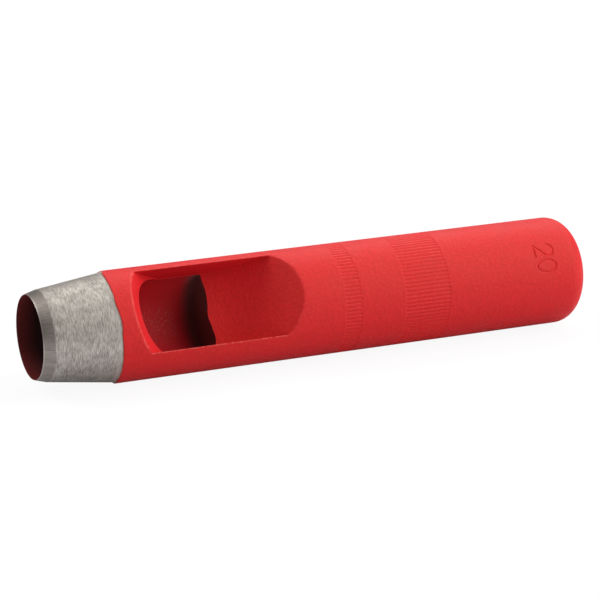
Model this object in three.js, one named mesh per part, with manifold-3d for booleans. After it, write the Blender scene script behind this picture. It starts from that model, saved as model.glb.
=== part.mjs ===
// Hollow punch, 20 mm: a ground steel cutting head seated in a lacquered steel shank.
// Millimetres, +Z up. The punch lies on its side along X, cutting edge towards -X.
// The origin is under the middle of the punch, on the surface that it lies on.
import * as THREE from 'three';
import { mergeVertices } from 'three/addons/utils/BufferGeometryUtils.js';
import Module from 'manifold-3d';

const wasm = await Module();
wasm.setup();

// Overall sizes. Places along the punch are measured from the cutting edge.
const LENGTH = 143.5;
const BORE_RADIUS = 10;
const END_ROUNDING = 5.3;

// Cutting head: a keen edge, a short bevel, then a long taper up to the joint.
const HEAD_LENGTH = 18.2;
const EDGE_LAND = 0.1;
const BEVEL_LENGTH = 2.8;
const BEVEL_WIDTH = 0.85;
const JOINT_STEP = 0.45;

// Spigot of the head, brazed into a socket of the shank.
const SPIGOT_LENGTH = 2.6;
const SPIGOT_WALL = 1.8;
const SOCKET_WALL = 1.65;
const BRAZE_GAP = 0.05;

// Ejection window: a slot milled across the bore, with a curved ramp at each end.
// A rim angle is the slope of a ramp where it meets the surface of the shank.
const WINDOW_TILT = 34;
const WINDOW_SETBACK = 3.9;
const WINDOW_LENGTH = 42.9;
const WINDOW_SIDE_CLEARANCE = 0.1;
const FRONT_RAMP = { radius: 56, rimAngle: 55.7 };
const REAR_RAMP = { radius: 39.9, rimAngle: 50.6 };
const BORE_PAST_WINDOW_FRONT = 23;

// Two bands of straight knurling rolled round the grip, in step with each other.
const NARROW_BAND_SETBACK = 10.5;
const NARROW_BAND_LENGTH = 4.5;
const BAND_SPACE = 11.6;
const WIDE_BAND_LENGTH = 12.3;
const GROOVE_PITCH = 0.986;
const GROOVE_DEPTH = 0.18;
const CREST_RISE = 0.1;

// Fineness of the round surfaces, and how far a cutter reaches past what it cuts.
const FACETS = 48;
const ROUNDING_STEPS = 8;
const RAMP_STEPS = 14;
const CUT_MARGIN = 1.5;

const STEEL = { color: 0xa8a39d, roughness: 0.38, metalness: 1 };
const LACQUER = { color: 0xcf2a2f, roughness: 0.5, metalness: 0 };

// Radii build up from the bore, and places follow each other from the cutting edge.
const SPIGOT_RADIUS = BORE_RADIUS + SPIGOT_WALL;
const SOCKET_RADIUS = SPIGOT_RADIUS + BRAZE_GAP;
const SHANK_RADIUS = SOCKET_RADIUS + SOCKET_WALL;
const SPIGOT_END = HEAD_LENGTH + SPIGOT_LENGTH;
const WINDOW_FRONT = HEAD_LENGTH + WINDOW_SETBACK;
const WINDOW_REAR = WINDOW_FRONT + WINDOW_LENGTH;
const BORE_END = WINDOW_FRONT + BORE_PAST_WINDOW_FRONT;
const NARROW_BAND_START = WINDOW_REAR + NARROW_BAND_SETBACK;
const WIDE_BAND_START = NARROW_BAND_START + NARROW_BAND_LENGTH + BAND_SPACE;

// The punch lies on one facet, so its axis is as high as that facet is from the axis.
const FACET_HALF_ANGLE = Math.PI / FACETS;
const AXIS_HEIGHT = SHANK_RADIUS * Math.cos(FACET_HALF_ANGLE);

// Turn a [place, radius] profile about the X axis, with a facet underneath.
function turned(profile) {
  const points = profile.map(([place, radius]) => new THREE.Vector2(radius, place));
  const geometry = new THREE.LatheGeometry(points, FACETS, FACET_HALF_ANGLE);
  return geometry.rotateZ(-Math.PI / 2);
}

function toSolid(geometry) {
  geometry.deleteAttribute('normal');
  geometry.deleteAttribute('uv');
  const merged = mergeVertices(geometry);
  return new wasm.Manifold(new wasm.Mesh({
    numProp: 3,
    vertProperties: new Float32Array(merged.attributes.position.array),
    triVerts: new Uint32Array(merged.index.array),
  }));
}

function toGeometry(solid) {
  const { vertProperties, triVerts } = solid.getMesh();
  const geometry = new THREE.BufferGeometry();
  geometry.setAttribute('position', new THREE.BufferAttribute(vertProperties, 3));
  geometry.setIndex(new THREE.BufferAttribute(triVerts, 1));
  return geometry;
}

// Steel head: edge, bevel and taper outside, spigot at the back, plain bore inside.
function cuttingHead() {
  const spigotFace = SPIGOT_END - BRAZE_GAP;
  const shoulder = HEAD_LENGTH - BRAZE_GAP;
  const edgeRadius = BORE_RADIUS + EDGE_LAND;
  return turned([
    [0, BORE_RADIUS],
    [0, edgeRadius],
    [BEVEL_LENGTH, edgeRadius + BEVEL_WIDTH],
    [shoulder, SHANK_RADIUS - JOINT_STEP],
    [shoulder, SPIGOT_RADIUS],
    [spigotFace, SPIGOT_RADIUS],
    [spigotFace, BORE_RADIUS],
    [0, BORE_RADIUS],
  ]);
}

// Shank before its cuts: blind bore, socket, straight body and rounded striking end.
function shankBlank() {
  const profile = [
    [BORE_END, 0],
    [BORE_END, BORE_RADIUS],
    [SPIGOT_END, BORE_RADIUS],
    [SPIGOT_END, SOCKET_RADIUS],
    [HEAD_LENGTH, SOCKET_RADIUS],
    [HEAD_LENGTH, SHANK_RADIUS],
  ];
  for (let step = 0; step <= ROUNDING_STEPS; step += 1) {
    const angle = (step / ROUNDING_STEPS) * (Math.PI / 2);
    profile.push([
      LENGTH - END_ROUNDING * (1 - Math.sin(angle)),
      SHANK_RADIUS - END_ROUNDING * (1 - Math.cos(angle)),
    ]);
  }
  profile.push([LENGTH, 0]);
  return turned(profile);
}

// Everything on the open side of one ramp, across the width of the window. The ramp is
// an arc that meets the shank's surface at rim, and levels out at its lowest point.
// side is -1 for the front ramp and 1 for the rear one.
function rampSide(rim, { radius, rimAngle }, side) {
  const slope = THREE.MathUtils.degToRad(rimAngle);
  const lowest = SHANK_RADIUS - radius * (1 - Math.cos(slope));
  const centre = rim - side * radius * Math.sin(slope);
  const top = SHANK_RADIUS + CUT_MARGIN;
  const topAngle = Math.acos(1 - (top - lowest) / radius);
  const far = rim - side * LENGTH;
  const outline = new THREE.Shape();
  outline.moveTo(far, top);
  for (let step = 0; step <= RAMP_STEPS; step += 1) {
    const angle = topAngle * (1 - step / RAMP_STEPS);
    outline.lineTo(centre + side * radius * Math.sin(angle), lowest + radius * (1 - Math.cos(angle)));
  }
  outline.lineTo(far, lowest);
  outline.closePath();
  const halfWidth = BORE_RADIUS + WINDOW_SIDE_CLEARANCE;
  const geometry = new THREE.ExtrudeGeometry(outline, { depth: 2 * halfWidth, bevelEnabled: false });
  geometry.translate(0, 0, -halfWidth);
  return toSolid(geometry.rotateX(Math.PI - THREE.MathUtils.degToRad(WINDOW_TILT)));
}

// Ring round the shank whose inner teeth cut one band of grooves along the axis.
function knurlCutter(start, length) {
  const grooves = Math.round((2 * Math.PI * SHANK_RADIUS) / GROOVE_PITCH);
  const crestRadius = SHANK_RADIUS + CREST_RISE;
  const ring = new THREE.Shape();
  ring.absarc(0, 0, crestRadius + CUT_MARGIN, 0, 2 * Math.PI);
  const teeth = [];
  for (let index = 0; index < 2 * grooves; index += 1) {
    const angle = (index * Math.PI) / grooves;
    const radius = index % 2 ? crestRadius : SHANK_RADIUS - GROOVE_DEPTH;
    teeth.push(new THREE.Vector2(radius * Math.cos(angle), radius * Math.sin(angle)));
  }
  ring.holes.push(new THREE.Path(teeth));
  const geometry = new THREE.ExtrudeGeometry(ring, { depth: length, bevelEnabled: false });
  geometry.rotateY(Math.PI / 2);
  return toSolid(geometry.translate(start, 0, 0));
}

function shank() {
  const frontSide = rampSide(WINDOW_FRONT, FRONT_RAMP, -1);
  const rearSide = rampSide(WINDOW_REAR, REAR_RAMP, 1);
  const cut = toSolid(shankBlank())
    .subtract(frontSide.intersect(rearSide))
    .subtract(knurlCutter(NARROW_BAND_START, NARROW_BAND_LENGTH))
    .subtract(knurlCutter(WIDE_BAND_START, WIDE_BAND_LENGTH));
  return toGeometry(cut);
}

function piece(name, geometry, finish) {
  const mesh = new THREE.Mesh(geometry, new THREE.MeshStandardMaterial(finish));
  mesh.name = name;
  return mesh;
}

// Both pieces are made about the punch's own axis, then laid down together.
const punch = new THREE.Group();
punch.name = 'hollow_punch';
punch.position.set(-LENGTH / 2, 0, AXIS_HEIGHT);
punch.add(piece('cutting_head', cuttingHead(), STEEL));
punch.add(piece('shank', shank(), LACQUER));

export default punch;
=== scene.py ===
"""Hollow punch, 20 mm: a ground steel cutting head in a red lacquered shank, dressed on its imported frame.

Lengths in the classes are millimetres, and places are counted from the cutting edge.
"""
import logging
import math
from collections.abc import Sequence
from dataclasses import dataclass, field
from enum import Enum
from typing import Any

import bmesh
import bpy
from bpy.types import Material, Node, NodeSocket, NodeTree, Object
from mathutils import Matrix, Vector


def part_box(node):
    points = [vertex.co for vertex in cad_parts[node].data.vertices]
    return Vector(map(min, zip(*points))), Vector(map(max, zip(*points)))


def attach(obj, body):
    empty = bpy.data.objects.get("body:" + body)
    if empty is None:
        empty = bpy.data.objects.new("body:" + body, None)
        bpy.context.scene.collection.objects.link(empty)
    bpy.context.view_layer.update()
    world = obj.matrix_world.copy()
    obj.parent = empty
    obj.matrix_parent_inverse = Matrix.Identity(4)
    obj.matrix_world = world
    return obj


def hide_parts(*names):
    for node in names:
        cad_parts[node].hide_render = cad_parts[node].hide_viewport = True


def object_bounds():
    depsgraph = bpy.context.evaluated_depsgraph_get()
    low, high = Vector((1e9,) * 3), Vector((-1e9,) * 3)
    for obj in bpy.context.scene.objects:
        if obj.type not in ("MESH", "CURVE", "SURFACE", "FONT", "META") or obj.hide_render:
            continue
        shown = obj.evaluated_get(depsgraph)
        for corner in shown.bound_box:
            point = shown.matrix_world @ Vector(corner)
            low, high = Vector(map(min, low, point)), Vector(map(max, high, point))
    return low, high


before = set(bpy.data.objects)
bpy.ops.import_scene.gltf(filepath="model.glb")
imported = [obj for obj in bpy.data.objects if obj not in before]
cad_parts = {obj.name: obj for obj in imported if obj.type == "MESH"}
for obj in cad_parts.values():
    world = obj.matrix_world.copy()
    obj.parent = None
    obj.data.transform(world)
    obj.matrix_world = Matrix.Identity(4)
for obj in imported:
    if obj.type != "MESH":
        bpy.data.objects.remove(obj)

LOG = logging.getLogger("hollow_punch")
MM = 0.001

# The CAD boxes give the place of the edge and of the axis in metres, and the outer sizes in millimetres.
CAD_LOW, CAD_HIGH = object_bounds()
EDGE_X = CAD_LOW.x
AXIS_Z = (CAD_LOW.z + CAD_HIGH.z) / 2
LENGTH = (CAD_HIGH.x - CAD_LOW.x) / MM
SHANK_RADIUS = (CAD_HIGH.z - CAD_LOW.z) / 2 / MM
SHANK_FRONT = (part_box("shank")[0].x - EDGE_X) / MM
SPIGOT_END = (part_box("cutting_head")[1].x - EDGE_X) / MM
BORE_RADIUS = 10.0
BODY = "root"
WHITE = (1.0, 1.0, 1.0, 1.0)

Point = tuple[float, float, float]
Profile = list[tuple[float, float]]
Source = Node | NodeSocket


class Name(str, Enum):
    """Names of the pieces and of the record's finishes."""

    HEAD = "cutting_head_ground"
    SHANK = "shank_lacquered"
    STEEL_SLOT = "ground_steel"
    LACQUER_SLOT = "red_lacquer"


class EdgeMark(str, Enum):
    """Names of the vertex values that tell a finish where an edge is paled by wear and a painted highlight,
    or ground bare.
    """

    RUBBED = "rim_wear"
    GROUND = "ground_bare"


class GrindDirection(Enum):
    """Which way the grinding marks run on a turned face."""

    AROUND = "around"
    ALONG = "along"


class End(Enum):
    """End of the ejection window: the sign is the way its ramp climbs along the punch."""

    FRONT = -1
    REAR = 1


class Kind(Enum):
    """Kinds of node, under Blender's names."""

    ATTRIBUTE = "ShaderNodeAttribute"
    BUMP = "ShaderNodeBump"
    COLOUR_RAMP = "ShaderNodeValToRGB"
    COMBINE = "ShaderNodeCombineXYZ"
    COORDINATES = "ShaderNodeTexCoord"
    COUNT = "GeometryNodeAttributeDomainSize"
    EMISSION = "ShaderNodeEmission"
    ENTRY = "NodeGroupInput"
    EXIT = "NodeGroupOutput"
    GRID = "GeometryNodeMeshGrid"
    LIGHT_PATH = "ShaderNodeLightPath"
    MATH = "ShaderNodeMath"
    MERGE = "GeometryNodeMergeByDistance"
    MIX = "ShaderNodeMix"
    MIX_SHADER = "ShaderNodeMixShader"
    NOISE = "ShaderNodeTexNoise"
    POSITION = "GeometryNodeInputPosition"
    RANGE = "ShaderNodeMapRange"
    REALIZE = "GeometryNodeRealizeInstances"
    SAMPLE = "GeometryNodeSampleIndex"
    SEPARATE = "ShaderNodeSeparateXYZ"
    SET_MATERIAL = "GeometryNodeSetMaterial"
    SET_POSITION = "GeometryNodeSetPosition"
    VECTOR = "ShaderNodeVectorMath"


def linear(code: str) -> tuple[float, float, float, float]:
    """Turn an sRGB hex colour into linear RGBA.

    Args:
        code: Six hex digits after a hash sign.

    Returns:
        Linear red, green, blue and an alpha of one.
    """
    parts = [int(code[i:i + 2], 16) / 255 for i in (1, 3, 5)]
    red, green, blue = (c / 12.92 if c <= 0.04045 else ((c + 0.055) / 1.055) ** 2.4 for c in parts)
    return red, green, blue, 1.0


def turned_point(place: float, radius: float, angle: float) -> Point:
    """Return the frame's point at a place, a distance from the axis, and radians up from the front."""
    across, upward = -radius * math.cos(angle) * MM, radius * math.sin(angle) * MM
    return EDGE_X + place * MM, across, AXIS_Z + upward


def between(low: float, high: float, share: float) -> float:
    """Return the value at a share of the way from low to high."""
    return low + (high - low) * share


def part_way(first: Point, last: Point, share: float) -> Point:
    """Return the point at a share of the way from the first to the last."""
    return tuple(between(low, high, share) for low, high in zip(first, last))


def steps(count: int) -> list[float]:
    """Return count + 1 even shares from nought to one."""
    return [index / count for index in range(count + 1)]


def put_in_scene(name: str, data: Any) -> Object:
    """Make an object and link it to the scene.

    Args:
        name: Name of the object.
        data: Its mesh, lamp or camera.

    Returns:
        The object, at the origin.
    """
    made = bpy.data.objects.new(name, data)
    bpy.context.scene.collection.objects.link(made)
    return made


def settle(piece: Object, crease: float, node: str) -> None:
    """Shade a piece, and let it ride on the body and stand for its CAD node.

    Args:
        piece: The dressed piece.
        crease: Angle in degrees over which an edge stays sharp.
        node: CAD node that it replaces.
    """
    piece.data.polygons.foreach_set("use_smooth", [True] * len(piece.data.polygons))
    piece.data.set_sharp_from_angle(angle=math.radians(crease))
    piece.data.update()
    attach(piece, BODY)
    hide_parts(node)
    LOG.info("%s: %d faces, stands for %s", piece.name, len(piece.data.polygons), node)


@dataclass(frozen=True)
class Bulge:
    """Smooth swelling of an edge: how far it stands out, its middle, and how far it reaches each way."""

    size: float
    middle: float
    reach: float

    def at(self, spot: float) -> float:
        """Return how far the edge stands out at a spot."""
        return self.size * max(0.0, 1 - ((spot - self.middle) / self.reach) ** 2) ** 2


class Quilt:
    """Patches of surface that meet along shared edges, sewn into one closed mesh."""

    SEAM = 2e-7

    def __init__(self) -> None:
        """Start with no patches, and with a layer of vertex values for each edge mark."""
        self.mesh = bmesh.new()
        for mark in EdgeMark:
            self.mesh.verts.layers.float.new(mark.value)

    def patch(
        self,
        rows: list[list[Point]],
        mark: EdgeMark = EdgeMark.RUBBED,
        amounts: Sequence[list[float]] = (),
    ) -> None:
        """Add a grid of four-sided faces.

        Args:
            rows: Rows of points, all of one length.
            mark: Edge mark that the points carry.
            amounts: The mark's value at each point, from nought to one, or nothing for an unmarked patch.
        """
        corners = [[self.mesh.verts.new(point) for point in row] for row in rows]
        layer = self.mesh.verts.layers.float[mark.value]
        for row, values in zip(corners, amounts):
            for corner, value in zip(row, values):
                corner[layer] = value
        for upper, lower in zip(corners, corners[1:]):
            for left in range(len(upper) - 1):
                right = left + 1
                self.mesh.faces.new((upper[left], upper[right], lower[right], lower[left]))

    def span(self, first: list[Point], last: list[Point], shares: list[float]) -> None:
        """Add a grid of faces with a row at each share of the way from one row of points to another."""
        self.patch([[part_way(start, end, t) for start, end in zip(first, last)] for t in shares])

    def flat(self, outline: list[Point]) -> None:
        """Add one flat face with the given outline."""
        self.mesh.faces.new([self.mesh.verts.new(point) for point in outline])

    def sew(self, name: str) -> Object:
        """Merge the shared edges, turn all faces outwards and make an object.

        Args:
            name: Name of the object and its mesh.

        Returns:
            The object, linked to the scene.
        """
        bmesh.ops.remove_doubles(self.mesh, verts=self.mesh.verts, dist=self.SEAM)
        bmesh.ops.recalc_face_normals(self.mesh, faces=self.mesh.faces)
        mesh = bpy.data.meshes.new(name)
        self.mesh.to_mesh(mesh)
        self.mesh.free()
        return put_in_scene(name, mesh)


class Nodes:
    """Node tree that is being built."""

    def __init__(self, tree: NodeTree) -> None:
        """Keep the tree."""
        self.tree = tree

    def feed(self, socket: NodeSocket, value: Any) -> None:
        """Give an input its value or its link.

        Args:
            socket: The input.
            value: Plain value, socket to link from, node to link from at its first open output, or None.
        """
        if isinstance(value, Node):
            value = next(output for output in value.outputs if output.enabled)
        if isinstance(value, NodeSocket):
            self.tree.links.new(value, socket)
        elif value is not None:
            socket.default_value = value

    def add(self, kind: Kind, *values: Any, **settings: Any) -> Node:
        """Add one node, with its settings, values and links.

        Args:
            kind: Kind of node.
            *values: What each open input is fed, in order.
            **settings: Properties of the node.

        Returns:
            The new node.
        """
        node = self.tree.nodes.new(kind.value)
        for name, value in settings.items():
            setattr(node, name, value)
        for socket, value in zip([socket for socket in node.inputs if socket.enabled], values):
            self.feed(socket, value)
        return node


class NodeShape(Nodes):
    """A Geometry Nodes tree whose named inputs carry sizes and finishes, run once on a piece."""

    SOCKETS = {int: "NodeSocketInt", float: "NodeSocketFloat", Material: "NodeSocketMaterial"}

    def __init__(self, name: str) -> None:
        """Make an empty tree that takes and gives a mesh, and knows the height of the axis.

        Args:
            name: Name of the tree.
        """
        super().__init__(bpy.data.node_groups.new(name, "GeometryNodeTree"))
        self.tree.is_modifier = True
        self.values: dict[str, Any] = {}
        for side in ("INPUT", "OUTPUT"):
            self._socket("Mesh", "NodeSocketGeometry", side)
        self.entry = self.add(Kind.ENTRY)
        self.axis_z = self.given("Axis height", AXIS_Z)

    @property
    def mesh(self) -> NodeSocket:
        """Socket of the mesh that goes in."""
        return self.entry.outputs["Mesh"]

    def _socket(self, name: str, kind: str, side: str) -> str:
        """Add a socket to the tree's face and return its identifier."""
        return self.tree.interface.new_socket(name=name, in_out=side, socket_type=kind).identifier

    def given(self, name: str, value: Any) -> NodeSocket:
        """Add a named input for a length, angle, count or finish, and return its socket."""
        self.values[self._socket(name, self.SOCKETS[type(value)], "INPUT")] = value
        return self.entry.outputs[name]

    def about_axis(self) -> tuple[Any, Node, Node]:
        """Add each point's coordinates, its height over the axis and its distance from the axis.

        Returns:
            The coordinates by their letters, the height and the distance.
        """
        spot = self.add(Kind.SEPARATE, self.add(Kind.POSITION)).outputs
        height = self.add(Kind.MATH, spot["Z"], self.axis_z, operation="SUBTRACT")
        across = self.add(Kind.MATH, spot["Y"], spot["Y"], operation="MULTIPLY")
        square = self.add(Kind.MATH, height, height, across, operation="MULTIPLY_ADD")
        return spot, height, self.add(Kind.MATH, square, operation="SQRT")

    def run(self, piece: Object, shaped: Source, coats: list[tuple[str, Any, Any]]) -> None:
        """Lay the finishes on, give the tree its end, run it on a piece and keep the plain mesh.

        Args:
            piece: Object whose mesh goes in, and which gets the new mesh.
            shaped: Source of the finished geometry.
            coats: Name and material of each finish, and which faces get it, or None for all.
        """
        for name, finish, chosen in coats:
            shaped = self.add(Kind.SET_MATERIAL, shaped, chosen, self.given(name, finish))
        self.add(Kind.EXIT, self.add(Kind.REALIZE, shaped))
        modifier = piece.modifiers.new(self.tree.name, "NODES")
        modifier.node_group = self.tree
        for identifier, value in self.values.items():
            modifier[identifier] = value
        evaluated = piece.evaluated_get(bpy.context.evaluated_depsgraph_get())
        made = bpy.data.meshes.new_from_object(evaluated)
        made.name = piece.name
        if made.materials[0] is None:
            made.materials.pop(index=0)
        piece.modifiers.remove(modifier)
        piece.data = made


class Coat(Nodes):
    """A new material, whose shader is fed by nodes."""

    def __init__(self, name: str) -> None:
        """Make the material with its plain shader.

        Args:
            name: Name of the material.
        """
        self.material = bpy.data.materials.new(name)
        self.material.use_nodes = True
        super().__init__(self.material.node_tree)
        self.shader = self.tree.nodes["Principled BSDF"]

    def place(self) -> Node:
        """Add Object coordinates in millimetres, from the cutting edge along the axis.

        Returns:
            Node of the vector.
        """
        where = self.add(Kind.COORDINATES).outputs["Object"]
        shifted = self.add(Kind.VECTOR, where, (EDGE_X, 0.0, AXIS_Z), operation="SUBTRACT")
        return self.add(Kind.VECTOR, shifted, 1 / MM, operation="SCALE")

    def share(self, fine: Source, coarse: Source, weight: float, softness: float) -> Node:
        """Add a share from nought to one, from a fine pattern with a coarse one laid over it.

        Args:
            fine: The fine pattern.
            coarse: The coarse pattern.
            weight: Weight of the coarse pattern beside the fine one.
            softness: How far the share takes, each way from the middle, to reach nought and one.

        Returns:
            Node of the share.
        """
        both = self.add(Kind.MATH, coarse, weight, fine, operation="MULTIPLY_ADD")
        middle = (1 + weight) / 2
        return self.add(Kind.RANGE, both, middle - softness, middle + softness)

    def dress(self, inputs: dict[str, Any]) -> Material:
        """Feed the shader.

        Args:
            inputs: What each input of the shader is fed, by its name.

        Returns:
            The finished material.
        """
        for name, value in inputs.items():
            self.feed(self.shader.inputs[name], value)
        return self.material


@dataclass(frozen=True)
class Strokes:
    """Marks of a grinding belt, in millimetres: the finest are drawn as wide as they need to show."""

    direction: GrindDirection
    width: float
    length: float
    detail: float = 3.0
    raggedness: float = 0.6

    def draw(self, coat: Coat, place: Source) -> Node:
        """Add noise drawn out along the grinding.

        Args:
            coat: Material that gets the marks.
            place: Its axis coordinates.

        Returns:
            Node of the noise.
        """
        wide, long = 1 / self.width, 1 / self.length
        if self.direction is GrindDirection.AROUND:
            drawn = coat.add(Kind.VECTOR, place, (wide, long, long), operation="MULTIPLY")
        else:
            spoke = coat.add(Kind.VECTOR, place, (0, 1, 1), operation="MULTIPLY")
            unit = coat.add(Kind.VECTOR, spoke, operation="NORMALIZE")
            fan = coat.add(Kind.VECTOR, unit, BORE_RADIUS / self.width, operation="SCALE")
            along = coat.add(Kind.VECTOR, place, (long, 0, 0), operation="MULTIPLY")
            drawn = coat.add(Kind.VECTOR, fan, along, operation="ADD")
        return coat.add(Kind.NOISE, drawn, 1.0, self.detail, self.raggedness)


@dataclass(frozen=True)
class GroundSteel:
    """Tool steel, ground on a belt: a grey satin metal with short strokes that follow the grinding."""

    name: str
    strokes: Strokes
    bright: str
    dull: str
    roughness: float
    rough_swing: float = 0.1
    contrast: float = 0.2
    blotch_size: float = 2.2
    blotch_detail: float = 2.0
    blotch_weight: float = 0.35
    # Pale band by the joint: partly burnishing, partly a painted highlight of the ground edge.
    burnish_and_highlight: str = "#efeae2"
    burnish_and_highlight_share: float = 0.0
    burnish_and_highlight_reach: tuple[float, float] = (SHANK_FRONT - 1.0, SHANK_FRONT - 0.4)
    relief: float = 0.006
    relief_strength: float = 0.7

    def material(self) -> Material:
        """Make the material.

        Returns:
            A metal whose colour, roughness and relief follow its strokes, paled at the joint by burnishing
            and a painted highlight.
        """
        coat = Coat(self.name)
        place = coat.place()
        strokes = self.strokes.draw(coat, place)
        blotches = coat.add(Kind.NOISE, place, 1 / self.blotch_size, self.blotch_detail)
        share = coat.share(strokes, blotches, self.blotch_weight, self.contrast)
        colour = coat.add(Kind.MIX, share, linear(self.dull), linear(self.bright), data_type="RGBA")
        along = coat.add(Kind.SEPARATE, place).outputs["X"]
        rub_and_highlight = coat.add(Kind.RANGE, along, *self.burnish_and_highlight_reach, 0.0, self.burnish_and_highlight_share)
        low, high = self.roughness - self.rough_swing, self.roughness + self.rough_swing
        return coat.dress({
            "Base Color": coat.add(Kind.MIX, rub_and_highlight, colour, linear(self.burnish_and_highlight), data_type="RGBA"),
            "Metallic": 1.0,
            "Roughness": coat.add(Kind.RANGE, strokes, 0.0, 1.0, high, low),
            "Normal": coat.add(Kind.BUMP, self.relief_strength, self.relief * MM, None, strokes),
        })


@dataclass(frozen=True)
class RedLacquer:
    """Sprayed lacquer on steel: soft red, finely grained, paled on the rim by wear and a painted highlight,
    bare at its front.
    """

    name: str = "red_lacquer_sprayed"
    red: str = "#d3131f"
    deep: str = "#c60f1a"
    contrast: float = 0.2
    roughness: float = 0.6
    rough_swing: float = 0.06
    gloss: float = 0.37
    gloss_tint: str = "#fff2d2"
    detail: float = 3.0
    # The spray's grain in millimetres, drawn as coarse as it needs to show.
    grain_size: float = 0.8
    grain_raggedness: float = 0.6
    grain_height: float = 0.2
    grain_strength: float = 0.6
    cloud_size: float = 7.0
    cloud_weight: float = 0.35
    # Pale rim colour: partly paint thinned by wear, partly a painted highlight where the rounded rim catches
    # the light.
    rub_and_highlight: str = "#ec8078"
    rub_and_highlight_share: float = 0.4
    rub_and_highlight_grain: tuple[float, float] = (0.4, 0.6)
    edge_wave: float = 1.4
    edge_detail: float = 4.0
    edge_wander: float = 0.6
    edge_softness: float = 0.25
    bare: str = "#c9c3ba"
    bare_dull: str = "#9a938a"
    bare_strokes: Strokes = Strokes(GrindDirection.AROUND, 0.18, 1.3)
    bare_contrast: tuple[float, float] = (0.3, 0.7)

    def material(self) -> Material:
        """Make the material.

        Returns:
            A lacquer with grain, clouding, a rim paled by wear and a painted highlight, and a ragged front
            edge.
        """
        coat = Coat(self.name)
        place = coat.place()
        grain = coat.add(Kind.NOISE, place, 1 / self.grain_size, self.detail, self.grain_raggedness)
        cloud = coat.add(Kind.NOISE, place, 1 / self.cloud_size, self.detail)
        tone = coat.share(grain, cloud, self.cloud_weight, self.contrast)
        colour = coat.add(Kind.MIX, tone, linear(self.deep), linear(self.red), data_type="RGBA")
        rim = coat.add(Kind.ATTRIBUTE, attribute_name=EdgeMark.RUBBED.value).outputs["Fac"]
        broken = coat.add(Kind.RANGE, grain, *self.rub_and_highlight_grain, 0.0, self.rub_and_highlight_share)
        rub_and_highlight = coat.add(Kind.MATH, rim, broken, operation="MULTIPLY")
        worn_and_lit = coat.add(Kind.MIX, rub_and_highlight, colour, linear(self.rub_and_highlight), data_type="RGBA")
        ground = coat.add(Kind.ATTRIBUTE, attribute_name=EdgeMark.GROUND.value).outputs["Fac"]
        ragged = coat.add(Kind.NOISE, place, 1 / self.edge_wave, self.edge_detail)
        bare = coat.share(ground, ragged, self.edge_wander, self.edge_softness)
        strokes = coat.add(Kind.RANGE, self.bare_strokes.draw(coat, place), *self.bare_contrast)
        steel = coat.add(Kind.MIX, strokes, linear(self.bare_dull), linear(self.bare), data_type="RGBA")
        low, high = self.roughness - self.rough_swing, self.roughness + self.rough_swing
        return coat.dress({
            "Base Color": coat.add(Kind.MIX, bare, worn_and_lit, steel, data_type="RGBA"),
            "Metallic": bare,
            "Roughness": coat.add(Kind.RANGE, cloud, 0.0, 1.0, low, high),
            "Normal": coat.add(Kind.BUMP, self.grain_strength, self.grain_height * MM, None, grain),
            "Specular IOR Level": self.gloss,
            "Specular Tint": linear(self.gloss_tint),
        })


@dataclass(frozen=True)
class BoreSprayAndShade:
    """Thin spray that reached into the bore: dull red by the window, darkened deep in the head by painted
    shade, and a darker grey-brown towards its end.
    """

    name: str = "overspray_on_dark_scale"
    # Millimetres from the cutting edge, with the colour there; the near-black stretch deep in the head is
    # painted shade.
    tones: tuple[tuple[float, str], ...] = (
        (0.0, "#6e2624"),
        (5.0, "#271211"),
        (14.0, "#271211"),
        (26.0, "#c41b22"),
        (41.2, "#b4242a"),
        (44.0, "#6a4644"),
    )
    # Specks of dry spray, in millimetres, drawn as coarse as they need to show.
    dust: str = "#c98a86"
    dust_size: float = 0.42
    dust_detail: float = 3.0
    dust_raggedness: float = 0.7
    dust_contrast: tuple[float, float] = (0.5, 0.75)
    dust_share: float = 0.42
    # Along each axis, where there is no dust and where there is all of it.
    dust_limits: tuple[tuple[str, float, float], ...] = (
        ("X", 26.0, 32.0),
        ("X", 41.0, 37.0),
        ("Z", 2.5, -2.0),
        ("Z", -9.0, -6.0),
    )
    roughness: float = 0.65
    rough_swing: float = 0.1
    gloss: float = 0.12
    relief: float = 0.03
    relief_strength: float = 0.6

    def material(self) -> Material:
        """Make the material.

        Returns:
            A dull coat whose colour changes along the bore, with painted shade deep in the head, and pale
            specks where the spray is thin.
        """
        coat = Coat(self.name)
        place = coat.place()
        spot = coat.add(Kind.SEPARATE, place).outputs
        depth = self.tones[-1][0]
        colour = coat.add(Kind.COLOUR_RAMP, coat.add(Kind.MATH, spot["X"], depth, operation="DIVIDE"))
        stops = colour.color_ramp.elements
        for along, _ in self.tones[1:-1]:
            stops.new(along / depth)
        for stop, (_, tone) in zip(stops, self.tones):
            stop.color = linear(tone)
        specks = coat.add(Kind.NOISE, place, 1 / self.dust_size, self.dust_detail, self.dust_raggedness)
        dusty = coat.add(Kind.RANGE, specks, *self.dust_contrast, 0.0, self.dust_share)
        for axis, none, full in self.dust_limits:
            within = coat.add(Kind.RANGE, spot[axis], none, full)
            dusty = coat.add(Kind.MATH, dusty, within, operation="MULTIPLY")
        low, high = self.roughness - self.rough_swing, self.roughness + self.rough_swing
        return coat.dress({
            "Base Color": coat.add(Kind.MIX, dusty, colour, linear(self.dust), data_type="RGBA"),
            "Roughness": coat.add(Kind.RANGE, specks, 0.0, 1.0, low, high),
            "Normal": coat.add(Kind.BUMP, self.relief_strength, self.relief * MM, None, specks),
            "Specular IOR Level": self.gloss,
        })


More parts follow.
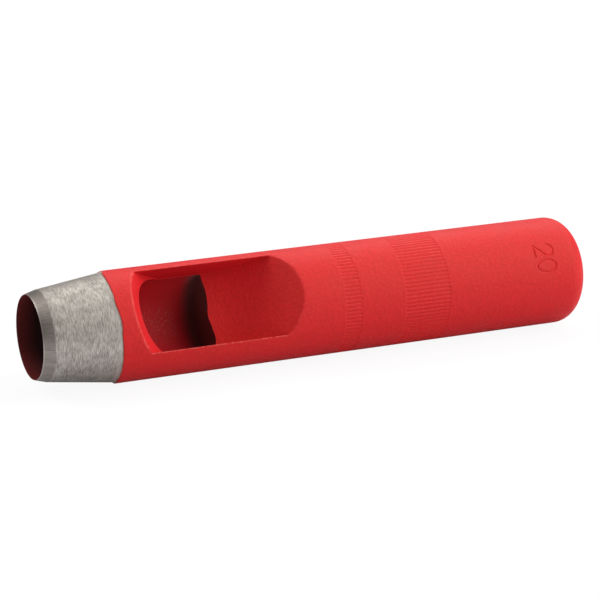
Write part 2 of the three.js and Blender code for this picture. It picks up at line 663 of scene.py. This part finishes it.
@dataclass
class CuttingHead:
    """Ground head with a keen edge, turned from its profile, and a spigot inside the shank."""

    bevel_length: float = 2.8
    bevel_width: float = 0.85
    bevel_shares: tuple[float, ...] = (0.5, 0.97)
    edge_land: float = 0.1
    hone_length: float = 0.2
    hone_rise: float = 0.1
    rounding: float = 0.12
    taper_places: tuple[float, ...] = (6.0, 10.0, 14.0)
    joint_step: float = 0.45
    spigot_radius: float = 11.8
    columns: int = 320
    seam: float = 1e-6
    crease: float = 12
    taper_steel: GroundSteel = GroundSteel(
        "ground_tool_steel_taper",
        Strokes(GrindDirection.AROUND, 0.18, 1.3),
        "#cdc6bd",
        "#89827b",
        roughness=0.5,
        burnish_and_highlight_share=0.2,
    )
    bevel_steel: GroundSteel = GroundSteel(
        "ground_tool_steel_bevel",
        Strokes(GrindDirection.ALONG, 0.3, 5.0),
        "#9f968e",
        "#857d76",
        roughness=0.46,
    )
    edge_steel: GroundSteel = GroundSteel(
        "honed_tool_steel_edge",
        Strokes(GrindDirection.ALONG, 0.3, 2.0),
        "#bdb7af",
        "#a29c95",
        roughness=0.4,
    )

    def profile(self) -> Profile:
        """List the head's outline as places and radii, closed on itself.

        Returns:
            Points from the mouth, over the outside to the spigot, and back through the bore.
        """
        edge = BORE_RADIUS + self.edge_land
        honed, bevel_end = edge + self.hone_rise, edge + self.bevel_width
        back = SHANK_RADIUS - self.joint_step
        slope = (back - bevel_end) / (SHANK_FRONT - self.bevel_length)
        points = [(0.0, BORE_RADIUS), (0.0, edge), (self.hone_length, honed)]
        points += [
            (between(self.hone_length, self.bevel_length, t), between(honed, bevel_end, t))
            for t in self.bevel_shares
        ]
        points += [
            (place, bevel_end + slope * (place - self.bevel_length))
            for place in (self.bevel_length + self.rounding, *self.taper_places)
        ]
        points += [(SHANK_FRONT, back), (SHANK_FRONT, self.spigot_radius), (SPIGOT_END, self.spigot_radius)]
        inside = (SPIGOT_END, SHANK_FRONT, SHANK_FRONT / 2, self.bevel_length, 0.0)
        return points + [(place, BORE_RADIUS) for place in inside]

    def _turn(self, piece: Object, bore_spray_and_shade: Material) -> None:
        """Turn the profile about the axis with Geometry Nodes, and lay the finishes on.

        Args:
            piece: Object that holds the profile, as places along X and radii along Y.
            bore_spray_and_shade: Finish of the bore.
        """
        shape = NodeShape("turned_head")
        add = shape.add
        columns = shape.given("Columns", self.columns)
        edge_x = shape.given("Edge place", EDGE_X)
        bevel_x = shape.given("Bevel end", EDGE_X + self.bevel_length * MM)
        hone_x = shape.given("Hone end", EDGE_X + self.hone_length * MM)
        bore = shape.given("Bore radius", (BORE_RADIUS + self.edge_land / 2) * MM)
        spot, _, radius = shape.about_axis()
        count = add(Kind.COUNT, shape.mesh)
        last = add(Kind.MATH, count, 1, operation="SUBTRACT")
        grid = add(Kind.GRID, last, columns, count, add(Kind.MATH, columns, 1, operation="ADD"))
        row = add(Kind.MATH, last, 0.5, spot["X"], operation="MULTIPLY_ADD")
        number = add(Kind.MATH, row, operation="ROUND")
        sample = add(Kind.SAMPLE, shape.mesh, add(Kind.POSITION), number, data_type="FLOAT_VECTOR")
        corner = add(Kind.SEPARATE, sample).outputs
        turns = add(Kind.MATH, spot["Y"], columns, operation="DIVIDE")
        angle = add(Kind.MATH, turns, math.tau, operation="MULTIPLY")
        along = add(Kind.MATH, corner["X"], edge_x, operation="ADD")
        across, upward = (
            add(Kind.MATH, corner["Y"], add(Kind.MATH, angle, operation=side), operation="MULTIPLY")
            for side in ("COSINE", "SINE")
        )
        place = add(Kind.COMBINE, along, across, add(Kind.MATH, upward, shape.axis_z, operation="ADD"))
        turned = add(Kind.SET_POSITION, grid, None, place)
        on_bevel, on_edge, in_bore = (
            add(Kind.MATH, *pair, operation="LESS_THAN")
            for pair in ((spot["X"], bevel_x), (spot["X"], hone_x), (radius, bore))
        )
        shape.run(piece, add(Kind.MERGE, turned, None, self.seam), [
            ("Taper finish", self.taper_steel.material(), None),
            ("Bevel finish", self.bevel_steel.material(), on_bevel),
            ("Edge finish", self.edge_steel.material(), on_edge),
            ("Bore finish", bore_spray_and_shade, in_bore),
        ])

    def build(self, bore_spray_and_shade: Material) -> None:
        """Build and dress the head.

        Args:
            bore_spray_and_shade: Finish of the bore.
        """
        points = [(place * MM, radius * MM, 0.0) for place, radius in self.profile()]
        outline = bpy.data.meshes.new(Name.HEAD.value)
        outline.from_pydata(points, [(i, i + 1) for i in range(len(points) - 1)], [])
        piece = put_in_scene(Name.HEAD.value, outline)
        self._turn(piece, bore_spray_and_shade)
        merged = bmesh.new()
        merged.from_mesh(piece.data)
        bmesh.ops.recalc_face_normals(merged, faces=merged.faces)
        merged.to_mesh(piece.data)
        merged.free()
        settle(piece, self.crease, "cutting_head")


@dataclass(frozen=True)
class Ramp:
    """Arc that closes one end of the ejection window: rim place, radius, and slope in degrees at the rim."""

    rim: float
    radius: float
    rim_angle: float
    end: End

    @property
    def lowest(self) -> float:
        """Height at which the arc levels out."""
        return SHANK_RADIUS - self.radius * (1 - math.cos(math.radians(self.rim_angle)))

    def slope(self, height: float) -> float:
        """Return the arc's slope, in radians, at a height over the axis."""
        return math.acos(1 - (height - self.lowest) / self.radius)

    def at(self, slope: float) -> tuple[float, float]:
        """Return the place and height where the arc has a slope, in radians."""
        reach = self.end.value * (math.sin(slope) - math.sin(math.radians(self.rim_angle)))
        return self.rim + self.radius * reach, self.lowest + self.radius * (1 - math.cos(slope))

    def place(self, height: float) -> float:
        """Return the place where the arc has a height over the axis."""
        return self.at(self.slope(height))[0]

    def slope_at(self, place: float) -> float:
        """Return the arc's slope, in radians, at a place along the punch."""
        reach = self.end.value * (place - self.rim) / self.radius
        return math.asin(math.sin(math.radians(self.rim_angle)) + reach)


@dataclass(frozen=True)
class SizeMark:
    """Bore size in plain figures, stamped round the shank with their tops towards the striking end."""

    place: float = 131.2
    angle: float = math.radians(31.5)
    height: float = 5.2
    width: float = 3.1
    pitch: float = 4.1
    stroke: float = 0.6
    depth: float = 0.2
    margin: float = 0.6
    row_length: float = 0.14
    curve_steps: int = 24
    # Degrees at which the bow of the first figure starts and ends.
    bow: tuple[float, float] = (165, -35)

    @property
    def ends(self) -> tuple[float, float]:
        """Places where the ring of surface that holds the figures starts and ends."""
        half = self.height / 2 + self.stroke / 2 + self.margin
        return self.place - half, self.place + half

    @property
    def sides(self) -> tuple[float, float]:
        """Angles between which the figures and their margin lie."""
        half = ((self.pitch + self.width + self.stroke) / 2 + self.margin) / SHANK_RADIUS
        return self.angle - half, self.angle + half

    def strokes(self) -> list[tuple[complex, complex]]:
        """List the straight bits of both figures, as points across and up from the middle of the mark.

        Returns:
            Pairs of complex numbers: across along the real axis, up along the imaginary one.
        """
        wide, tall, shift = self.width / 2, self.height / 2, self.pitch / 2

        def curve(centre: complex, radii: tuple[float, float], first: float, last: float) -> list[complex]:
            """Return points along part of an ellipse, between two angles in degrees."""
            angles = [math.radians(between(first, last, t)) for t in steps(self.curve_steps)]
            return [centre + complex(radii[0] * math.cos(a), radii[1] * math.sin(a)) for a in angles]

        two = curve(complex(0, tall - wide), (wide, wide), *self.bow)
        two += [complex(-wide, -tall), complex(wide, -tall)]
        nought = curve(0j, (wide, tall), 0, 360)
        runs = ([point - shift for point in two], [point + shift for point in nought])
        return [pair for run in runs for pair in zip(run, run[1:])]

    def depth_at(self, place: float, angle: float, strokes: list[tuple[complex, complex]]) -> float:
        """Work out how deep the stamp went at one point of the shank.

        Args:
            place: Millimetres from the cutting edge.
            angle: Radians up from the front of the punch.
            strokes: The straight bits of the figures.

        Returns:
            Millimetres below the plain surface, round-bottomed across each stroke.
        """
        spot = complex((self.angle - angle) * SHANK_RADIUS, place - self.place)
        nearest = self.stroke / 2
        for start, end in strokes:
            along = end - start
            share = ((spot - start) * along.conjugate()).real / abs(along) ** 2
            nearest = min(nearest, abs(spot - start - along * min(max(share, 0.0), 1.0)))
        return self.depth * (1 - (nearest / (self.stroke / 2)) ** 2)


@dataclass
class Shank:
    """Lacquered shank: socket, blind bore, ejection window, two knurled bands and a rounded end."""

    tilt: float = math.radians(34)
    window_half_width: float = 10.1
    front_ramp: Ramp = Ramp(22.1, 56.0, 55.7, End.FRONT)
    rear_ramp: Ramp = Ramp(65.0, 39.9, 50.6, End.REAR)
    edge_rounding: float = 0.45
    # How much the front, upper, rear and lower rim of the window are paled by wear and a painted highlight.
    rim_wear: tuple[float, float, float, float] = (0.6, 0.3, 0.2, 1.0)
    bore_end: float = 45.1
    bore_tolerance: float = 0.03
    bore_end_tolerance: float = 0.3
    socket_radius: float = 11.85
    joint_gap: float = 0.05
    lip_width: float = 0.22
    lip_drop: float = 0.45
    lip_clearance: float = 0.005
    # Shares of the way along and up the lip, with the share of bare steel there.
    lip_shape: tuple[Point, ...] = ((0.0, 0.0, 1.0), (0.7, 0.85, 0.0), (1.0, 1.0, 0.0))
    ground_slope: float = 0.134
    # Millimetres past the joint at which the grinding of the head stopped, by degrees up from the front.
    ground_line: tuple[Bulge, ...] = (
        Bulge(-0.36, 62, 45),
        Bulge(-0.2, 42, 12),
        Bulge(0.2, 20, 14),
        Bulge(0.4, -50, 70),
        Bulge(1.3, 108, 20),
        Bulge(1.1, 138, 30),
        Bulge(1.2, -95, 40),
    )
    # Millimetres past its end at which the bore broke out, by shares from its upper side to its lower one.
    break_out: tuple[Bulge, ...] = (
        Bulge(0.4, 0.24, 0.22),
        Bulge(-0.35, 0.54, 0.14),
        Bulge(0.25, 0.8, 0.1),
        Bulge(-0.3, 0.93, 0.07),
    )
    narrow_band: tuple[float, float] = (75.5, 80.0)
    wide_band: tuple[float, float] = (91.6, 103.9)
    # Rows of faces in a band: millimetres in from each of its ends, and shares of its length.
    band_ends: tuple[float, ...] = (-0.1, 0.0, 0.09, 0.18, 0.5)
    band_shares: tuple[float, ...] = (0.3, 0.5, 0.7)
    grooves: int = 86
    groove_depth: float = 0.13
    groove_keenness: float = 2.0
    groove_run_out: float = 0.18
    groove_phase: float = math.radians(1.5)
    size_mark: SizeMark = SizeMark()
    tail_start: float = 71.0
    end_rounding: float = 5.3
    end_shares: tuple[float, ...] = (0.66, 0.33, 0.1, 0.0)
    columns_per_groove: int = 8
    rim_half_columns: int = 97
    rounding_rows: int = 4
    foot_rows: int = 14
    ledge_rows: int = 4
    front_rows: int = 5
    bore_rows: int = 6
    end_rows: int = 14
    crease: float = 32
    lacquer: RedLacquer = RedLacquer()
    quilt: Quilt = field(default_factory=Quilt)

    @property
    def columns(self) -> int:
        """Number of columns round the shank."""
        return self.grooves * self.columns_per_groove

    @property
    def ramps(self) -> tuple[Ramp, Ramp]:
        """Both ramps, the front one first."""
        return self.front_ramp, self.rear_ramp

    def _angle(self, index: int) -> float:
        """Return a column's angle, in radians, where column nought is the middle of the window."""
        return self.tilt + index * math.tau / self.columns

    def _at(self, place: float, index: int, radius: float = SHANK_RADIUS) -> Point:
        """Return the point at a place and column, on the outer surface or at another radius."""
        return turned_point(place, radius, self._angle(index))

    def _inside(self, place: float, height: float, across: float) -> Point:
        """Return a point of the window from its place, height over the axis and distance across."""
        return turned_point(place, math.hypot(height, across), self.tilt + math.atan2(across, height))

    def _rim_spot(self, index: int) -> tuple[float, float]:
        """Return height and distance across of a sharp rim point, which the rounding starts from."""
        angle = math.asin(self.window_half_width / SHANK_RADIUS) * index / self.rim_half_columns
        return SHANK_RADIUS * math.cos(angle), SHANK_RADIUS * math.sin(angle)

    def _rim_outer(self, ramp: Ramp, index: int) -> float:
        """Return the place on the outer surface where the rounding of an end rim starts."""
        return ramp.place(self._rim_spot(index)[0]) + ramp.end.value * self.edge_rounding

    def _rim_inner(self, ramp: Ramp, index: int) -> tuple[float, float, float]:
        """Return place, height and distance across where the rounding of an end rim ends."""
        height, across = self._rim_spot(index)
        return *ramp.at(ramp.slope(height) - self.edge_rounding / ramp.radius), across

    def _rim(self, ramp: Ramp, index: int) -> tuple[Point, Point, Point]:
        """Work out one cross-section of an end rim.

        Args:
            ramp: The ramp at that end.
            index: Column of the rim, from its lower corner to its upper one.

        Returns:
            Outer point, sharp corner and inner point.
        """
        height, across = self._rim_spot(index)
        outer = self._at(self._rim_outer(ramp, index), index)
        sharp = self._inside(ramp.place(height), height, across)
        return outer, sharp, self._inside(*self._rim_inner(ramp, index))

    def _ledge_height(self) -> float:
        """Return the height of the rear ramp where the bore ends."""
        return self.rear_ramp.at(self.rear_ramp.slope_at(self.bore_end))[1]

    def _bore_half_width(self) -> float:
        """Return half the width of the bore at the ledge."""
        return math.sqrt(BORE_RADIUS ** 2 - self._ledge_height() ** 2)

    def _foot(self) -> list[tuple[float, float]]:
        """List place and height along the foot of a side wall.

        Returns:
            Points down the front ramp, along the ledge and up the rear ramp.
        """
        ledge = self._ledge_height()
        (front_low, front_top), (rear_low, rear_top) = (
            (ramp.slope(ledge), ramp.slope(self._rim_inner(ramp, self.rim_half_columns)[1]))
            for ramp in self.ramps
        )
        rows = steps(self.foot_rows)
        path = [self.front_ramp.at(between(front_top, front_low, t)) for t in rows]
        path += [(between(path[-1][0], self.bore_end, t), ledge) for t in steps(self.ledge_rows)[1:]]
        return path + [self.rear_ramp.at(between(rear_low, rear_top, t)) for t in rows[1:]]

    def _side_shares(self) -> list[float]:
        """Return how far along a side wall each point of its foot lies, from nought to one."""
        places = [place for place, _ in self._foot()]
        return [(place - places[0]) / (places[-1] - places[0]) for place in places]

    def _ground_end(self, index: int) -> float:
        """Return the place at a column where the grinding of the head stopped, a little unevenly."""
        turn = math.degrees(self._angle(index) + math.pi) % 360 - 180
        return SHANK_FRONT + sum(bulge.at(turn) for bulge in self.ground_line)

    def _sew_outside(self) -> None:
        """Add the outer surface from the lip to the tail, with the window left open."""
        half = self.rim_half_columns
        rows = steps(self.front_rows)
        for columns in (range(-half, half + 1), range(half, self.columns - half + 1)):
            lip = [self._at(self._ground_end(i) + self.lip_width, i) for i in columns]
            front, rear = (
                [self._at(self._rim_outer(ramp, min(i, half)), i) for i in columns] for ramp in self.ramps
            )
            self.quilt.span(lip, front, rows)
            self.quilt.span(rear, [self._at(self.tail_start, i) for i in columns], rows)
        self.quilt.span(front, rear, self._side_shares())

    def _sew_rim(self) -> None:
        """Add the rounded rim of the window, and mark where wear and a painted highlight pale it."""
        half = self.rim_half_columns
        shares = self._side_shares()[1:-1]
        front = [self._rim(self.front_ramp, i) for i in range(-half, half + 1)]
        rear = [self._rim(self.rear_ramp, i) for i in range(half, -half - 1, -1)]
        upper = [[part_way(*ends, t) for ends in zip(front[-1], rear[0])] for t in shares]
        lower = [[part_way(*ends, t) for ends in zip(front[0], rear[-1])] for t in reversed(shares)]
        sides = (front, upper, rear, lower, front[:1])
        # The paling peaks midway round the rounding, where a highlight is painted, and is strongest on the
        # lower rim.
        rub_and_highlight = [amount for amount, side in zip((*self.rim_wear, self.rim_wear[0]), sides) for _ in side]
        rows, amounts = [], []
        for t in steps(self.rounding_rows):
            rows.append([
                part_way(part_way(outer, sharp, t), part_way(sharp, inner, t), t)
                for side in sides
                for outer, sharp, inner in side
            ])
            amounts.append([amount * math.sin(math.pi * t) for amount in rub_and_highlight])
        self.quilt.patch(rows, EdgeMark.RUBBED, amounts)

    def _sew_walls(self) -> None:
        """Add both flat side walls and the narrow ledges beside the bore."""
        foot = self._foot()
        ledge = slice(self.foot_rows, self.foot_rows + self.ledge_rows + 1)
        for sign in (-1, 1):
            front, rear = (self._rim(ramp, sign * self.rim_half_columns)[-1] for ramp in self.ramps)
            bottom = [self._inside(*spot, sign * self.window_half_width) for spot in foot]
            self.quilt.patch([[part_way(front, rear, t) for t in self._side_shares()], bottom])
            bore = [self._inside(*spot, sign * self._bore_half_width()) for spot in foot[ledge]]
            self.quilt.span(bottom[ledge], bore, steps(self.bore_rows))

    def _arch(self) -> list[tuple[float, float, float]]:
        """List the front ramp's outer edge with the bore angle that faces each point.

        Returns:
            Height, distance across and bore angle, from one foot over the rim to the other.
        """
        half = self.rim_half_columns
        sides = [
            (height, self.window_half_width, math.acos(height / BORE_RADIUS))
            for _, height in self._foot()[self.foot_rows::-1]
        ]
        top_angle = sides.pop()[-1]
        over = [
            (*self._rim_inner(self.front_ramp, i)[1:], top_angle * i / half) for i in range(-half, half + 1)
        ]
        return [(height, -across, -angle) for height, across, angle in sides] + over + sides[::-1]

    def _sew_front_ramp(self) -> None:
        """Add the front ramp, from the rim and the walls in to the edge of the bore."""
        rows = []
        for t in steps(self.bore_rows):
            rows.append([])
            for height, across, angle in self._arch():
                deep = between(height, BORE_RADIUS * math.cos(angle), t)
                wide = between(across, BORE_RADIUS * math.sin(angle), t)
                rows[-1].append(self._inside(self.front_ramp.place(deep), deep, wide))
        self.quilt.patch(rows)

    def _broken_slope(self, across: float) -> float:
        """Work out where the drill broke out through the rear ramp, a little unevenly.

        Args:
            across: Millimetres from the window's middle plane.

        Returns:
            Slope of the ramp, in radians, at its broken edge.
        """
        share = (1 - across / self._bore_half_width()) / 2
        place = self.bore_end + sum(bulge.at(share) for bulge in self.break_out)
        return self.rear_ramp.slope_at(place)

    def _chord(self) -> list[float]:
        """List the columns of the rear ramp's edge at the end of the bore.

        Returns:
            Millimetres from the window's middle plane, from the lower wall to the upper one.
        """
        bore = self._bore_half_width()
        ledge = [between(-self.window_half_width, -bore, t) for t in steps(self.bore_rows)]
        inner = [between(-bore, bore, t) for t in steps(2 * (self.rim_half_columns - self.bore_rows))]
        return ledge[:-1] + inner + [-across for across in ledge[-2::-1]]

    def _sew_rear_ramp(self) -> None:
        """Add the rear ramp, from the end of the bore up to the rim."""
        half = self.rim_half_columns
        tops = [self._rim_inner(self.rear_ramp, i) for i in range(-half, half + 1)]
        rows = []
        for t in steps(self.foot_rows):
            rows.append([])
            for across, (_, height, wide) in zip(self._chord(), tops):
                slope = between(self._broken_slope(across), self.rear_ramp.slope(height), t)
                rows[-1].append(self._inside(*self.rear_ramp.at(slope), between(across, wide, t)))
        self.quilt.patch(rows)

    def _sew_bore(self) -> None:
        """Add the bore, its flat end, and the socket for the head's spigot."""
        over = [angle for _, _, angle in self._arch()]
        shares = steps(self.columns - (len(over) - 1))
        under = [between(over[-1], math.tau + over[0], t) for t in shares]
        start = SPIGOT_END + self.joint_gap

        def bore(place: float, angle: float) -> Point:
            """Return a point of the bore."""
            return turned_point(place, BORE_RADIUS, self.tilt + angle)

        arch = [bore(self.front_ramp.place(BORE_RADIUS * math.cos(angle)), angle) for angle in over]
        self.quilt.span([bore(start, angle) for angle in over], arch, steps(self.bore_rows))
        foot = self.front_ramp.place(self._ledge_height())
        begin, middle, end = (
            [bore(place, angle) for angle in under] for place in (start, foot, self.bore_end)
        )
        self.quilt.span(begin, middle, steps(self.bore_rows))
        self.quilt.span(middle, end, steps(self.ledge_rows))
        inner = self._chord()[self.bore_rows + 1:-self.bore_rows - 1]
        self.quilt.flat(end + [
            self._inside(*self.rear_ramp.at(self._broken_slope(across)), across) for across in inner
        ])
        half = (len(over) - 1) // 2
        ring = over[half:-1] + under[:-1] + [angle + math.tau for angle in over[:half + 1]]
        socket = [self._at(start, i, self.socket_radius) for i in range(self.columns + 1)]
        self.quilt.patch([[bore(start, angle) for angle in ring], socket])
        self._turn([(start, self.socket_radius), (SHANK_FRONT, self.socket_radius)])

    def _sew_lip(self) -> None:
        """Add the front of the shank: its face at the joint, the strip ground bare, and the lip above it."""
        foot = SHANK_RADIUS - self.lip_drop + self.lip_clearance
        columns = range(self.columns + 1)
        rows = [[self._at(SHANK_FRONT, i, radius) for i in columns] for radius in (self.socket_radius, foot)]
        for along, up, _ in self.lip_shape:
            rows.append([])
            for i in columns:
                end = self._ground_end(i)
                radius = between(foot + self.ground_slope * (end - SHANK_FRONT), SHANK_RADIUS, up)
                rows[-1].append(self._at(end + along * self.lip_width, i, radius))
        bare = [1.0, 1.0] + [share for _, _, share in self.lip_shape]
        self.quilt.patch(rows, EdgeMark.GROUND, [[share] * len(columns) for share in bare])

    def _turn(self, profile: Profile) -> None:
        """Add a full turn of a profile, given as places and radii, on the shank's columns."""
        columns = range(self.columns + 1)
        self.quilt.patch([[self._at(place, i, radius) for i in columns] for place, radius in profile])

    def _sew_tail(self) -> None:
        """Add the knurled length, the plain tail, the size mark and the rounded striking end."""
        near, far = self.size_mark.ends
        places = [self.tail_start]
        for start, end in (self.narrow_band, self.wide_band):
            places += [start + inward for inward in self.band_ends]
            places += [between(start, end, t) for t in self.band_shares]
            places += [end - inward for inward in reversed(self.band_ends)]
        places += [between(places[-1], near, t) for t in (0.5, 1.0)]
        self._turn([(place, SHANK_RADIUS) for place in places])
        self._sew_mark()
        flat = SHANK_RADIUS - self.end_rounding
        profile = [(far, SHANK_RADIUS)]
        for t in steps(self.end_rows):
            angle = t * math.pi / 2
            along, inward = (self.end_rounding * (1 - share) for share in (math.sin(angle), math.cos(angle)))
            profile.append((LENGTH - along, SHANK_RADIUS - inward))
        self._turn(profile + [(LENGTH, flat * t) for t in self.end_shares])

    def _sew_mark(self) -> None:
        """Add the ring of surface that holds the size mark, fine under the figures and plain elsewhere."""
        mark = self.size_mark
        strokes = mark.strokes()
        near, far = mark.ends
        low, high = ((angle - self.tilt) * self.columns / math.tau for angle in mark.sides)
        first, last = math.floor(low), math.ceil(high)
        places = [between(near, far, t) for t in steps(round((far - near) / mark.row_length))]
        self.quilt.patch([
            [
                self._at(place, i, SHANK_RADIUS - mark.depth_at(place, self._angle(i), strokes))
                for i in range(first, last + 1)
            ]
            for place in places
        ])
        for edge, beside in ((first, first - 1), (last, last + 1)):
            fine = [self._at(place, edge) for place in places]
            self.quilt.flat([*fine, self._at(far, beside), self._at(near, beside)])
        plain = range(last + 1, first + self.columns)
        self.quilt.patch([[self._at(place, i) for i in plain] for place in (near, far)])

    def _knurl(self, piece: Object, bore_spray_and_shade: Material) -> None:
        """Press the grooves of both bands in with Geometry Nodes, and lay the finishes on.

        Args:
            piece: The sewn shank.
            bore_spray_and_shade: Finish of the bore and its end.
        """
        shape = NodeShape("straight_knurl")
        add = shape.add
        count = shape.given("Grooves", self.grooves)
        phase = shape.given("First groove", self.groove_phase)
        depth = shape.given("Groove depth", self.groove_depth * MM)
        keen = shape.given("Groove keenness", self.groove_keenness)
        fade = shape.given("Run-out", self.groove_run_out * MM)
        skin = shape.given("Skin radius", (SHANK_RADIUS - self.groove_depth / 2) * MM)
        bore = shape.given("Bore radius", (BORE_RADIUS + self.bore_tolerance) * MM)
        bore_end = shape.given("Bore end", EDGE_X + (self.bore_end + self.bore_end_tolerance) * MM)
        spot, height, radius = shape.about_axis()
        front = add(Kind.MATH, spot["Y"], -1, operation="MULTIPLY")
        angle = add(Kind.MATH, height, front, operation="ARCTAN2")
        shifted = add(Kind.MATH, angle, phase, operation="SUBTRACT")
        turn = add(Kind.MATH, shifted, count, operation="MULTIPLY")
        wave = add(Kind.MATH, add(Kind.MATH, turn, operation="COSINE"), 0.5, 0.5, operation="MULTIPLY_ADD")
        groove = add(Kind.MATH, add(Kind.MATH, wave, keen, operation="POWER"), depth, operation="MULTIPLY")
        bands = []
        for label, (start, end) in (("Narrow band", self.narrow_band), ("Wide band", self.wide_band)):
            first = shape.given(f"{label} start", EDGE_X + start * MM)
            last = shape.given(f"{label} end", EDGE_X + end * MM)
            rise, fall = (
                add(Kind.MATH, add(Kind.MATH, *ends, operation="SUBTRACT"), fade, operation="DIVIDE")
                for ends in ((spot["X"], first), (last, spot["X"]))
            )
            bands.append(add(Kind.MATH, rise, fall, operation="MINIMUM", use_clamp=True))
        pressed = add(Kind.MATH, add(Kind.MATH, *bands, operation="ADD"), groove, operation="MULTIPLY")
        on_skin = add(Kind.MATH, radius, skin, operation="GREATER_THAN")
        sunk = add(Kind.MATH, pressed, on_skin, operation="MULTIPLY")
        share = add(Kind.MATH, sunk, radius, operation="DIVIDE")
        spoke = add(Kind.COMBINE, None, front, add(Kind.MATH, height, -1, operation="MULTIPLY"))
        push = add(Kind.VECTOR, spoke, share, operation="SCALE")
        near_axis = add(Kind.MATH, radius, bore, operation="LESS_THAN")
        before_end = add(Kind.MATH, spot["X"], bore_end, operation="LESS_THAN")
        shape.run(piece, add(Kind.SET_POSITION, shape.mesh, None, None, push), [
            ("Lacquer", self.lacquer.material(), None),
            ("Overspray", bore_spray_and_shade, add(Kind.MATH, near_axis, before_end, operation="MULTIPLY")),
        ])

    def build(self, bore_spray_and_shade: Material) -> None:
        """Build and dress the shank.

        Args:
            bore_spray_and_shade: Finish of the bore.
        """
        for sew in (
            self._sew_outside,
            self._sew_rim,
            self._sew_walls,
            self._sew_front_ramp,
            self._sew_rear_ramp,
            self._sew_bore,
            self._sew_lip,
            self._sew_tail,
        ):
            sew()
        piece = self.quilt.sew(Name.SHANK.value)
        self._knurl(piece, bore_spray_and_shade)
        settle(piece, self.crease, "shank")


@dataclass(frozen=True)
class Softbox:
    """Square lamp a metre off, facing the punch.

    Its bearing and height are in degrees, its side in metres and its power in watts.
    """

    name: str
    bearing: float
    height: float
    size: float
    power: float

    def hang(self) -> None:
        """Add the lamp to the scene."""
        data = bpy.data.lights.new(self.name, "AREA")
        data.size = self.size
        data.energy = self.power
        turn, rise = math.radians(self.bearing), math.radians(self.height)
        place = Vector((math.cos(turn) * math.cos(rise), math.sin(turn) * math.cos(rise), math.sin(rise)))
        lamp = put_in_scene(self.name, data)
        lamp.location = place
        lamp.rotation_euler = (-place).to_track_quat("-Z", "Y").to_euler()


@dataclass
class Studio:
    """White table in a pale surround, five soft lamps and the camera at the photograph's angle."""

    azimuth: float = math.radians(-24.28)
    elevation: float = math.radians(16.74)
    distance: float = 613.6
    target: Point = (-2.48, 0.0, 14.02)
    lens: float = 150.65
    sensor: float = 36.0
    clip_start: float = 0.01
    floor_size: float = 6.0
    ambient: float = 0.12
    glossy_share: float = 0.1
    table_glow: float = 0.92
    table_bounce: str = "#d6d7dc"
    table_white: str = "#fafafa"
    table_roughness: float = 0.9
    softboxes: tuple[Softbox, ...] = (
        Softbox("key_softbox", -44, 26, 1.0, 8.0),
        Softbox("high_softbox", -20, 48, 0.6, 3.6),
        Softbox("rim_softbox", 50, 45, 0.7, 4.3),
        Softbox("back_softbox", 150, 44, 0.5, 5.2),
        Softbox("top_softbox", 70, 88, 0.7, 1.4),
    )

    def camera(self) -> None:
        """Add the camera."""
        data = bpy.data.cameras.new("camera")
        data.lens = self.lens
        data.sensor_width = self.sensor
        data.clip_start = self.clip_start
        back = Vector((
            math.sin(self.azimuth) * math.cos(self.elevation),
            -math.cos(self.azimuth) * math.cos(self.elevation),
            math.sin(self.elevation),
        ))
        camera = put_in_scene("camera", data)
        camera.location = (Vector(self.target) + back * self.distance) * MM
        camera.rotation_euler = (math.pi / 2 - self.elevation, 0.0, self.azimuth)
        bpy.context.scene.camera = camera

    def _seen(self, nodes: Nodes) -> Node:
        """Add a value that is one for camera and transmission rays, and a share of that for glossy rays.

        Args:
            nodes: Tree of the world or of the table's material.

        Returns:
            Node of the value.
        """
        path = nodes.add(Kind.LIGHT_PATH).outputs
        seen = nodes.add(Kind.MATH, path["Is Glossy Ray"], self.glossy_share, operation="MULTIPLY")
        for ray in ("Is Camera Ray", "Is Transmission Ray"):
            seen = nodes.add(Kind.MATH, path[ray], seen, operation="MAXIMUM")
        return seen

    def world(self) -> None:
        """Add an even surround that lights the punch at the ambient level, and is plain white to the eye."""
        world = bpy.data.worlds.new("pale_surround")
        world.use_nodes = True
        nodes = Nodes(world.node_tree)
        background = world.node_tree.nodes["Background"].inputs
        nodes.feed(background["Color"], WHITE)
        nodes.feed(background["Strength"], nodes.add(Kind.MIX, self._seen(nodes), self.ambient, 1.0))
        bpy.context.scene.world = world

    def floor(self) -> None:
        """Add the table: matt white paint, white to the eye, with a soft shadow under the punch."""
        half = self.floor_size / 2
        corners = [(-half, -half, 0), (half, -half, 0), (half, half, 0), (-half, half, 0)]
        mesh = bpy.data.meshes.new("table")
        mesh.from_pydata(corners, [], [(0, 1, 2, 3)])
        table = put_in_scene("table", mesh)
        coat = Coat("matt_white_table")
        seen = self._seen(coat)
        white = (linear(self.table_bounce), linear(self.table_white))
        mesh.materials.append(coat.dress({
            "Base Color": coat.add(Kind.MIX, seen, *white, data_type="RGBA"),
            "Roughness": self.table_roughness,
            "Specular IOR Level": 0.0,
        }))
        glow = coat.add(Kind.EMISSION, WHITE, 1.0)
        share = coat.add(Kind.MATH, seen, self.table_glow, operation="MULTIPLY")
        surface = coat.add(Kind.MIX_SHADER, share, coat.shader, glow)
        coat.feed(coat.tree.nodes["Material Output"].inputs["Surface"], surface)

    def build(self) -> None:
        """Set the whole studio up."""
        bpy.context.scene.view_settings.view_transform = "Standard"
        self.camera()
        self.world()
        self.floor()
        for softbox in self.softboxes:
            softbox.hang()


def main() -> None:
    """Set the studio up and build both sub-assemblies in order."""
    logging.basicConfig(level=logging.INFO, format="%(message)s")
    Studio().build()
    bore_spray_and_shade = BoreSprayAndShade().material()
    CuttingHead().build(bore_spray_and_shade)
    Shank().build(bore_spray_and_shade)


if __name__ == "__main__":
    main()
